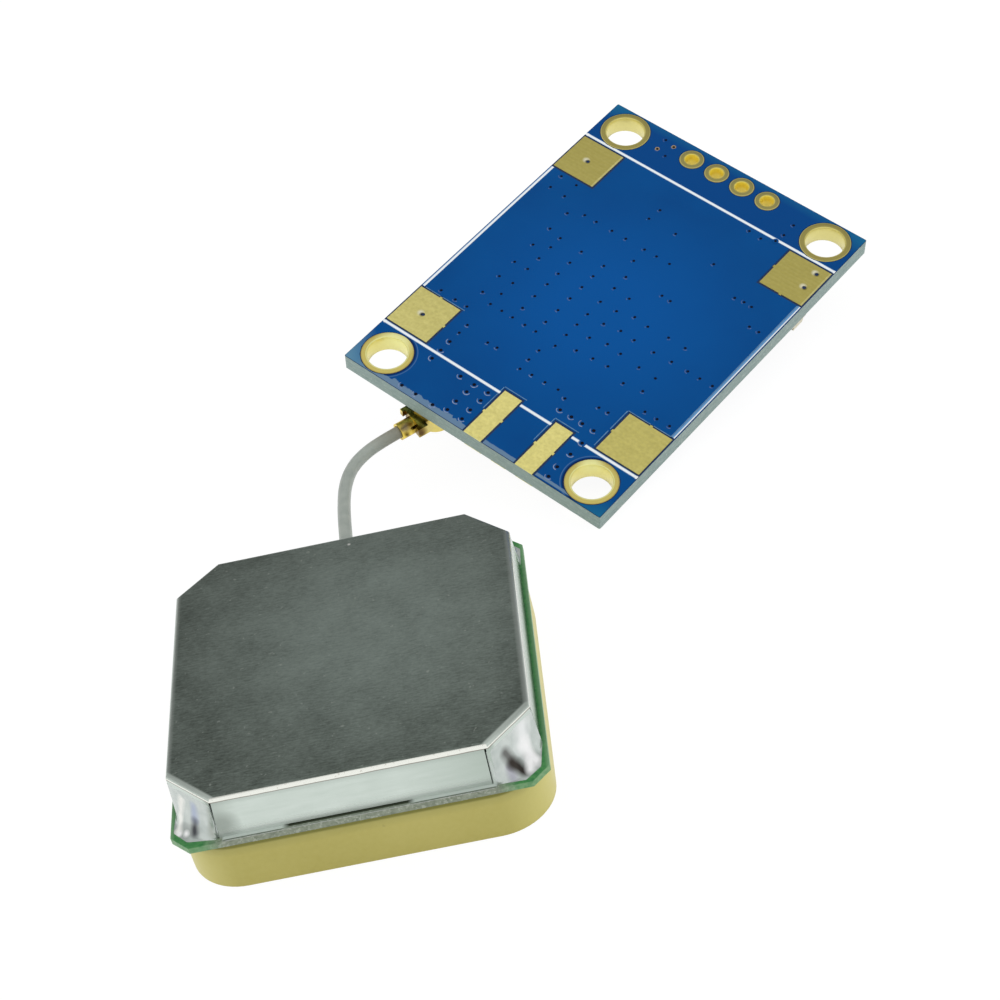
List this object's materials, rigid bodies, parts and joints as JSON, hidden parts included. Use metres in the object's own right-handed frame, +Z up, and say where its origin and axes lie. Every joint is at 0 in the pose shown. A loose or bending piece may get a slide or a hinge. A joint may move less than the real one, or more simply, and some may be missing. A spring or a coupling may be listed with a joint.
{
  "type": "gps receiver module with patch antenna",
  "caption": "Satellite positioning module: a blue receiver board lying plain side up, joined by a short coaxial lead to a square ceramic patch antenna with a folded metal shield can.",
  "frame": {"origin": "centre of the antenna's ceramic outer face, on the surface that the module lies on", "axes": "+Z up, out of the shield can's top; +X along the can's near edge; +Y from the antenna towards the receiver board"},
  "size_m": [0.0556, 0.0704, 0.0124],
  "materials": {
    "ceramic": "smooth fired ceramic, sand coloured",
    "silver": "fired silver",
    "tin": "bright tin and solder",
    "tape": "dark double-sided tape",
    "antenna_laminate": "green laminate",
    "can_steel": "tinned steel sheet",
    "dark_moulding": "black moulding compound",
    "filter_ceramic": "ceramic package",
    "alumina": "pale alumina",
    "capacitor_ceramic": "tan ceramic",
    "jacket": "grey jacket",
    "copper_braid": "tinned braid",
    "core_plastic": "clear white core",
    "laminate": "glass laminate, grey green at its edge",
    "blue_mask": "glossy blue solder mask",
    "gold": "gold plate",
    "white_ink": "white ink",
    "lamp_clear": "cream lens",
    "cell_steel": "nickelled steel",
    "white_moulding": "pale moulding"
  },
  "bodies": {
    "root": {"ceramic_patch": "ceramic", "patch_electrode": "silver", "feed_pin": "tin", "adhesive_sheet": "tape", "antenna_board": "antenna_laminate", "ground_strips": "tin", "pin_solder": "tin", "shield_can": "can_steel", "can_solder": "tin", "band_filter": "filter_ceramic", "amplifier_chip": "dark_moulding", "amplifier_leads": "tin", "antenna_chips": "capacitor_ceramic", "antenna_chip_ends": "tin", "coax_cable": "jacket", "braid_ends": "copper_braid", "core_ends": "core_plastic", "wire_ends": "tin", "lead_solder": "tin", "board_laminate": "laminate", "face_mask": "blue_mask", "underside_mask": "blue_mask", "mount_plating": "gold", "header_plating": "gold", "corner_pads": "gold", "edge_pads": "gold", "socket_pads": "gold", "printed_lines": "white_ink", "receiver_carrier": "laminate", "receiver_joints": "tin", "receiver_lid": "can_steel", "receiver_chip": "dark_moulding", "receiver_oscillator": "filter_ceramic", "socket_base": "white_moulding", "socket_shell": "gold", "socket_lugs": "gold", "socket_pin": "gold", "plug_shell": "gold", "plug_insulator": "white_moulding", "plug_contact": "gold", "cell_cup": "cell_steel", "cell_gasket": "dark_moulding", "cell_cap": "cell_steel", "cell_tabs": "cell_steel", "memory_chip": "dark_moulding", "memory_leads": "tin", "regulator": "dark_moulding", "regulator_leads": "tin", "lamp_base": "white_moulding", "lamp_lens": "lamp_clear", "resistor_bodies": "dark_moulding", "capacitor_bodies": "capacitor_ceramic", "choke_body": "dark_moulding", "chip_ends": "tin", "diode_body": "dark_moulding", "diode_tabs": "tin"}
  },
  "joints": []
}
